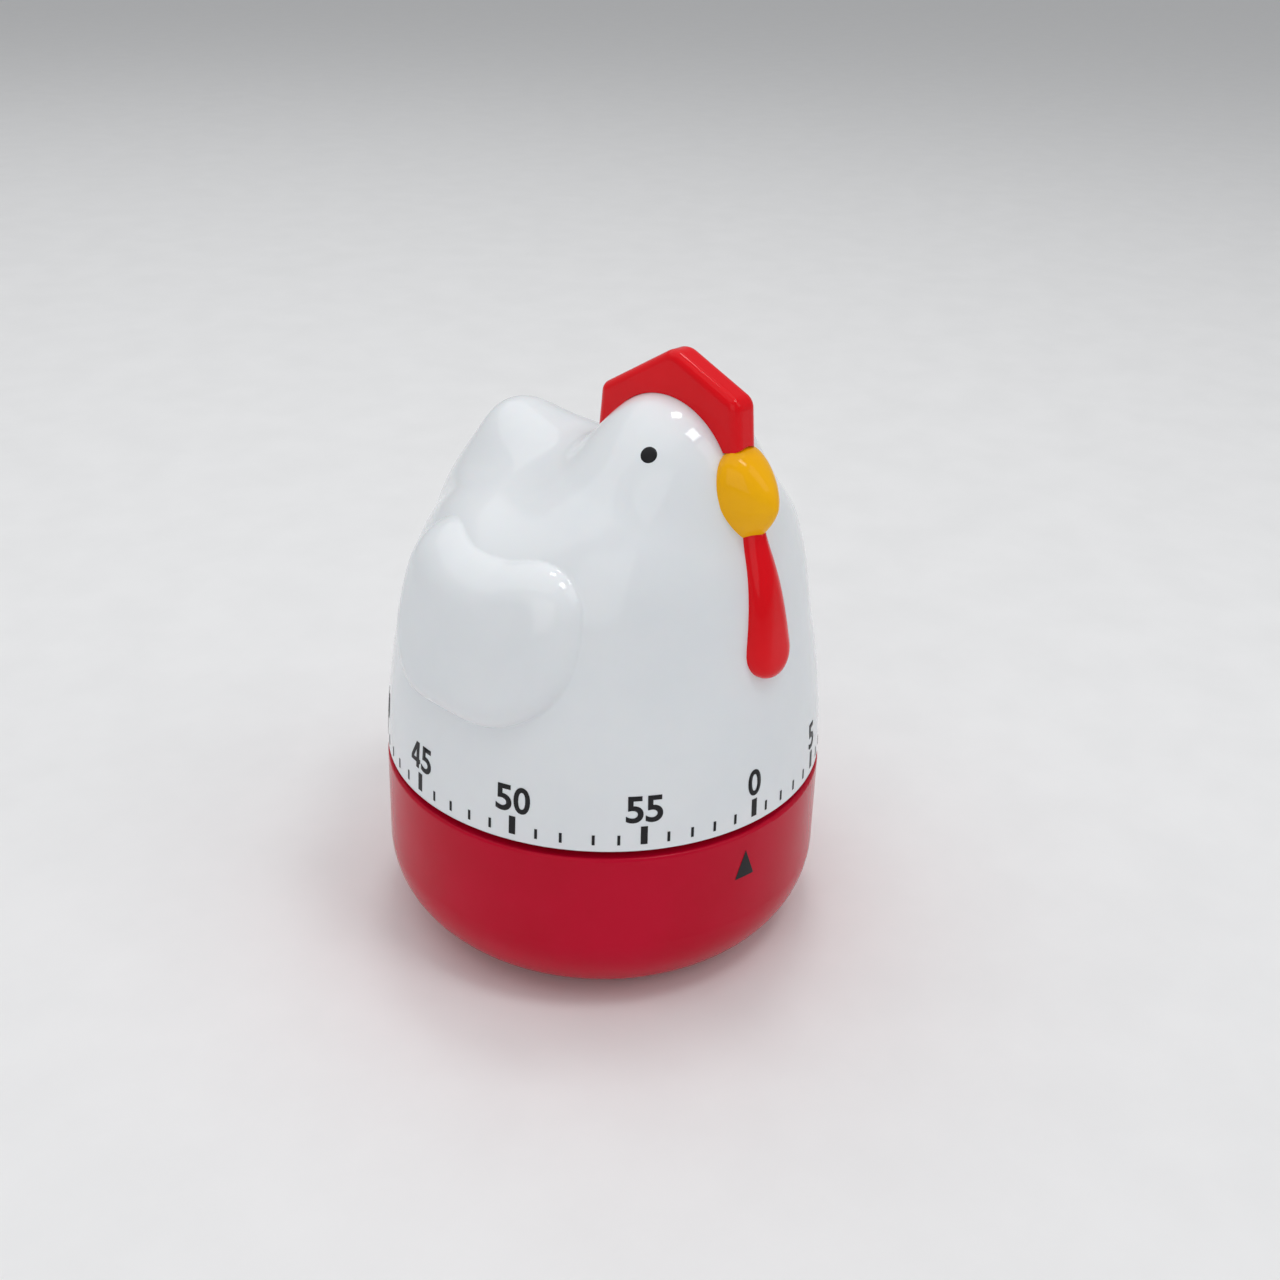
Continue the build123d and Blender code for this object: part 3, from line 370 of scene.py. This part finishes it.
def base_radius(height):
    """The radius of the base's side at this height, read from its CAD node."""
    vertices = frame["nodes"]["base_shell"].data.vertices
    turned = [(v.co.z / MM, v.co.xy.length / MM) for v in vertices]
    rings = sorted(ring for ring in turned if ring[1] > BASE_SIDE_RADIUS)
    below = [r for r in rings if r[0] <= height][-1]
    above = [r for r in rings if r[0] > height][0]
    share = (height - below[0]) / (above[0] - below[0])
    return below[1] + (above[1] - below[1]) * share


def wrap(bm, turn, radius_at):
    """Cuts a flat print into strips and bends it round a turned surface."""
    bmesh.ops.triangulate(bm, faces=bm.faces[:])
    width = max(abs(v.co.x) for v in bm.verts)
    cut = -width + PRINT_STEP
    while cut < width:
        everything = bm.verts[:] + bm.edges[:] + bm.faces[:]
        bmesh.ops.bisect_plane(bm, geom=everything, plane_co=(cut, 0, 0), plane_no=(1, 0, 0))
        cut += PRINT_STEP
    for vertex in bm.verts:
        radius = radius_at(vertex.co.y) + PRINT_LIFT
        angle = radians(turn) + vertex.co.x / radius
        vertex.co = Vector((cos(angle) * radius, sin(angle) * radius, vertex.co.y)) * MM
    bmesh.ops.triangulate(bm, faces=bm.faces[:])
    bmesh.ops.recalc_face_normals(bm, faces=bm.faces[:])
    for face in bm.faces:
        face.normal_update()
        if face.normal.xy.dot(face.calc_center_median().xy) < 0:
            face.normal_flip()


def flat_patch(*outlines, foot=0.0):
    """A flat print in millimetres: an outline, and any holes in it, raised to this foot."""
    bm = bmesh.new()
    for outline in outlines:
        corners = [bm.verts.new((x, y + foot, 0)) for x, y in outline]
        for place, corner in enumerate(corners):
            bm.edges.new((corner, corners[place - 1]))
    bmesh.ops.triangle_fill(bm, use_beauty=True, edges=bm.edges[:])
    return bm


def digit_outlines():
    """The digits that the scale needs, as flat meshes at their printed height."""
    digits = {
        "1": flat_patch(*ONE, foot=NUMERAL_FOOT_Z),
        "4": flat_patch(*FOUR, foot=NUMERAL_FOOT_Z),
    }
    for digit in FONT_DIGITS:
        curve = bpy.data.curves.new("digit", "FONT")
        curve.body = digit
        curve.offset = NUMERAL_WEIGHT
        curve.resolution_u = 6
        piece = link(bpy.data.objects.new("digit", curve))
        bpy.context.view_layer.update()
        shape = piece.evaluated_get(bpy.context.evaluated_depsgraph_get())
        bm = bmesh.new()
        bm.from_mesh(shape.to_mesh())
        xs = [v.co.x for v in bm.verts]
        ys = [v.co.y for v in bm.verts]
        for v in bm.verts:
            v.co.x = (v.co.x - min(xs)) / (max(xs) - min(xs)) * NUMERAL_WIDTH
            v.co.y = (v.co.y - min(ys)) / (max(ys) - min(ys)) * NUMERAL_HEIGHT + NUMERAL_FOOT_Z
        digits[digit] = bm
        bpy.data.objects.remove(piece)
        bpy.data.curves.remove(curve)
    return digits


def numeral(text, digits):
    """The flat digits of a number, side by side and centred."""
    glyphs = [digits[digit].copy() for digit in text]
    widths = [max(v.co.x for v in glyph.verts) for glyph in glyphs]
    left = -(sum(widths) + NUMERAL_GAP * (len(text) - 1)) / 2
    for glyph, width in zip(glyphs, widths):
        bmesh.ops.translate(glyph, verts=glyph.verts, vec=(left, 0, 0))
        left += width + NUMERAL_GAP
    return glyphs


def dial_print():
    """The minute ticks and the numerals every five minutes, round the hen above its rim."""
    digits = digit_outlines()
    joined = bmesh.new()
    for minute in range(MINUTES):
        turn = minute_turn(minute)
        major = minute % MAJOR_STEP == 0
        width, foot, top = MAJOR_TICK if major else MINOR_TICK
        half = width / 2
        parts = [flat_patch([(-half, foot), (half, foot), (half, top), (-half, top)])]
        if major:
            parts += numeral(str(minute), digits)
        for part in parts:
            wrap(part, turn, hen_radius)
            joined_mesh = bpy.data.meshes.new("part")
            part.to_mesh(joined_mesh)
            joined.from_mesh(joined_mesh)
            bpy.data.meshes.remove(joined_mesh)
    return print_object("dial_print", joined)


POINTER_TURN = -98.9
POINTER = ((-1.8, 20.2), (1.8, 20.2), (0.0, 24.8))


def pointer_print():
    """The black triangle on the base that points at the dial."""
    bm = flat_patch(POINTER)
    wrap(bm, POINTER_TURN, base_radius)
    return print_object("pointer_print", bm)


def print_object(name, bm):
    """A thin layer of ink from flat faces."""
    mesh = bpy.data.meshes.new(name)
    bm.to_mesh(mesh)
    bm.free()
    obj = link(bpy.data.objects.new(name, mesh))
    ink = obj.modifiers.new("ink", "SOLIDIFY")
    ink.thickness = PRINT_LIFT * MM / 2
    ink.offset = -1
    return obj


EYE_TURN = 68.9
EYE_ELEVATION = 33.6
EYE_RADIUS = 1.17
EYE_DOME = 0.22
EYE_SINK = 0.03
EYE_SEARCH = 30


def eye(name, side):
    """A black dot on one side of the head, slightly domed."""
    around, rings = 40, 8
    centre, (width, _, height) = HEAD
    centre = np.array(centre, float)
    turn, lift = radians(EYE_TURN), radians(EYE_ELEVATION)
    flat = cos(lift) * width
    aim = np.array((side * sin(turn) * flat, -cos(turn) * flat, sin(lift) * height))
    aim /= np.linalg.norm(aim)
    across = np.cross(aim, (0, 0, 1))
    across /= np.linalg.norm(across)
    upward = np.cross(across, aim)
    points = []
    for step in range(rings):
        share = 1 - step / rings
        for turn in np.linspace(0, 2 * pi, around, endpoint=False):
            offset = (across * cos(turn) + upward * sin(turn)) * EYE_RADIUS * share
            direction = aim * width + offset
            direction /= np.linalg.norm(direction)
            skin_point = march(hen, centre, direction[None], EYE_SEARCH)[0]
            points.append(skin_point + direction * (EYE_DOME * sqrt(1 - share**2) - EYE_SINK))
    tip = march(hen, centre, aim[None], EYE_SEARCH)[0] + aim * (EYE_DOME - EYE_SINK)
    return mesh_object(name, points + [tip], wound_faces(rings, around))


# ---------------------------------------------------------------- finishes
DRIFT_SCALE = 60.0
MARK_SCALE = 900.0


def graph(name):
    """A new material, with a function that adds a node to it and its shader."""
    made = bpy.data.materials.new(name)
    made.use_nodes = True
    nodes, links = made.node_tree.nodes, made.node_tree.links
    shader = nodes["Principled BSDF"]

    def add(kind, **values):
        node = nodes.new(kind)
        for key, value in values.items():
            node.inputs[key.replace("_", " ")].default_value = value
        return node

    return made, add, links, shader


def blotches(add, links, shader, colour, other, scale, roughness, stretch=(1, 1, 1)):
    """Drives a shader's colour and roughness with soft noise; returns the stretched place."""
    place = add("ShaderNodeTexCoord")
    stretched = add("ShaderNodeMapping", Scale=stretch)
    links.new(place.outputs["Object"], stretched.inputs["Vector"])
    noise = add("ShaderNodeTexNoise", Scale=scale, Detail=4.0, Roughness=0.6)
    links.new(stretched.outputs["Vector"], noise.inputs["Vector"])
    ramp = add("ShaderNodeValToRGB")
    ramp.color_ramp.elements[0].position = 0.35
    ramp.color_ramp.elements[1].position = 0.65
    ramp.color_ramp.elements[0].color = (*colour, 1)
    ramp.color_ramp.elements[1].color = (*other, 1)
    links.new(noise.outputs["Fac"], ramp.inputs["Fac"])
    links.new(ramp.outputs["Color"], shader.inputs["Base Color"])
    spread = add("ShaderNodeMapRange", From_Min=0.3, From_Max=0.7)
    spread.inputs["To Min"].default_value = roughness[0]
    spread.inputs["To Max"].default_value = roughness[1]
    links.new(noise.outputs["Fac"], spread.inputs["Value"])
    links.new(spread.outputs["Result"], shader.inputs["Roughness"])
    return stretched


def grain(add, links, shader, source, scale, depth):
    """A fine bump on the surface."""
    fine = add("ShaderNodeTexNoise", Scale=scale, Detail=3.0, Roughness=0.5)
    links.new(source.outputs["Vector"], fine.inputs["Vector"])
    bump = add("ShaderNodeBump", Strength=1.0, Distance=depth)
    links.new(fine.outputs["Fac"], bump.inputs["Height"])
    links.new(bump.outputs["Normal"], shader.inputs["Normal"])


def plastic(name, colour, other, roughness, ripple, shine=0.5, glow=0.0):
    """Moulded plastic: faint colour drift, uneven gloss and a slight ripple."""
    made, add, links, shader = graph(name)
    source = blotches(add, links, shader, colour, other, DRIFT_SCALE, roughness)
    grain(add, links, shader, source, *ripple)
    shader.inputs["IOR"].default_value = 1.5
    shader.inputs["Specular IOR Level"].default_value = shine
    shader.inputs["Subsurface Weight"].default_value = glow
    shader.inputs["Subsurface Scale"].default_value = 0.002
    return made


def metal(name, colour, other, roughness, stretch, ripple):
    """Metal with drawn or turned marks."""
    made, add, links, shader = graph(name)
    source = blotches(add, links, shader, colour, other, MARK_SCALE, roughness, stretch)
    grain(add, links, shader, source, *ripple)
    shader.inputs["Metallic"].default_value = 1.0
    return made


RIPPLE = (180.0, 0.000004)
FINE = (2600.0, 0.000002)
FINISHES = {
    "white_shell": lambda n: plastic(
        n, (0.80, 0.83, 0.86), (0.83, 0.855, 0.88), (0.06, 0.12), RIPPLE, 0.5, 0.05
    ),
    "red_base": lambda n: plastic(
        n, (0.50, 0.001, 0.020), (0.54, 0.001, 0.025), (0.16, 0.26), RIPPLE, 0.14
    ),
    "red_trim": lambda n: plastic(
        n, (0.74, 0.001, 0.006), (0.80, 0.001, 0.008), (0.05, 0.10), RIPPLE, 0.22
    ),
    "yellow_beak": lambda n: plastic(
        n, (0.93, 0.44, 0.001), (0.98, 0.49, 0.001), (0.05, 0.10), RIPPLE, 0.2
    ),
    "drive_plastic": lambda n: plastic(
        n, (0.70, 0.71, 0.70), (0.76, 0.77, 0.75), (0.40, 0.55), FINE
    ),
    "bell_steel": lambda n: metal(
        n, (0.70, 0.71, 0.73), (0.78, 0.79, 0.80), (0.08, 0.18), (1, 1, 1), FINE
    ),
    "spring_steel": lambda n: metal(
        n, (0.10, 0.12, 0.20), (0.18, 0.20, 0.28), (0.22, 0.35), (1, 1, 6), FINE
    ),
    "wheel_brass": lambda n: metal(
        n, (0.72, 0.50, 0.20), (0.80, 0.58, 0.26), (0.20, 0.35), (6, 1, 1), FINE
    ),
    "plate_steel": lambda n: metal(
        n, (0.55, 0.56, 0.56), (0.64, 0.65, 0.64), (0.28, 0.42), (8, 1, 1), FINE
    ),
    "arbor_steel": lambda n: metal(
        n, (0.50, 0.51, 0.52), (0.60, 0.61, 0.62), (0.18, 0.30), (1, 1, 12), FINE
    ),
}


def black_ink(name):
    """Pad-printed ink, slightly worn and less glossy than the plastic."""
    return plastic(name, (0.008, 0.008, 0.010), (0.016, 0.016, 0.018), (0.28, 0.45), FINE, 0.2)


def paint(obj, finish):
    """Gives an object one finish."""
    obj.data.materials.clear()
    obj.data.materials.append(finish)


# ---------------------------------------------------------------- the object
finishes = {slot: make(slot) for slot, make in FINISHES.items()}
ink = black_ink("black_ink")
for part in frame["record"]["subparts"]:
    paint(frame["nodes"][part["node"]], finishes[part["material_slot"]])

SCULPTED = (
    (hen_skin, "hen_shell", "white_shell"),
    (beak_piece, "beak", "yellow_beak"),
    (wattle_piece, "wattle", "red_trim"),
)
for make, node, slot in SCULPTED:
    piece = make()
    paint(piece, finishes[slot])
    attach(piece, HEN_BODY)
    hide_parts(node)

PRINTED = (
    (dial_print(), HEN_BODY),
    (eye("eye_left", 1), HEN_BODY),
    (eye("eye_right", -1), HEN_BODY),
    (pointer_print(), BASE_BODY),
)
for piece, body in PRINTED:
    paint(piece, ink)
    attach(piece, body)


# ---------------------------------------------------------------- stage
FLOOR_SIZE = 14.0
FLOOR_DROP = 0.0002


def floor():
    """A plain pale floor."""
    half = FLOOR_SIZE / 2
    corners = [(-half, -half), (half, -half), (half, half), (-half, half)]
    mesh = bpy.data.meshes.new("floor")
    mesh.from_pydata([(x, y, GROUND_Z - FLOOR_DROP) for x, y in corners], [], [(0, 1, 2, 3)])
    obj = link(bpy.data.objects.new("floor", mesh))
    paint(obj, plastic("floor_paper", (0.86, 0.86, 0.865), (0.88, 0.88, 0.885), (0.6, 0.8), FINE))


def area_light(name, place, size, power, target=(0, 0, 0.05)):
    """A square softbox that faces the target."""
    light = bpy.data.lights.new(name, "AREA")
    light.size = size
    light.energy = power
    lamp = link(bpy.data.objects.new(name, light))
    lamp.location = place
    lamp.rotation_euler = (Vector(target) - Vector(place)).to_track_quat("-Z", "Y").to_euler()


ROOM_COLOUR = (0.97, 0.985, 1.0, 1)
ROOM_STRENGTH = 0.42


def world():
    """An even, near-white room."""
    made = bpy.data.worlds.new("room")
    made.use_nodes = True
    made.node_tree.nodes["Background"].inputs["Color"].default_value = ROOM_COLOUR
    made.node_tree.nodes["Background"].inputs["Strength"].default_value = ROOM_STRENGTH
    bpy.context.scene.world = made


CAMERA_PLACE = (-0.146885, -0.138183, 0.149761)
CAMERA_TURN = -48.26
CAMERA_ELEVATION = 27.455
CAMERA_ROLL = 1.956
CAMERA_LENS = 40.915


def camera():
    """The camera, at the photograph's viewing angle."""
    turn, lift, roll = [radians(a) for a in (CAMERA_TURN, CAMERA_ELEVATION, CAMERA_ROLL)]
    back = Vector((sin(turn) * cos(lift), -cos(turn) * cos(lift), sin(lift)))
    level = Vector((cos(turn), sin(turn), 0))
    steep = back.cross(level)
    right = level * cos(roll) + steep * sin(roll)
    up = steep * cos(roll) - level * sin(roll)
    made = bpy.data.cameras.new("camera")
    made.lens = CAMERA_LENS
    made.clip_start = 0.01
    obj = link(bpy.data.objects.new("camera", made))
    obj.matrix_world = Matrix.Translation(CAMERA_PLACE) @ Matrix((right, up, back)).transposed().to_4x4()
    bpy.context.scene.camera = obj


floor()
world()
area_light("overhead", (-0.05, 0.25, 0.80), 1.2, 2.6)
area_light("high_back", (0.12, 0.10, 0.78), 0.12, 0.6)
area_light("high_front", (0.04, -0.28, 0.75), 0.16, 0.7)
area_light("front", (0.50, -1.25, 1.25), 1.0, 3.1)
area_light("side", (-1.50, -0.63, 0.75), 1.25, 3.75)
camera()
bpy.context.scene.view_settings.view_transform = "Standard"
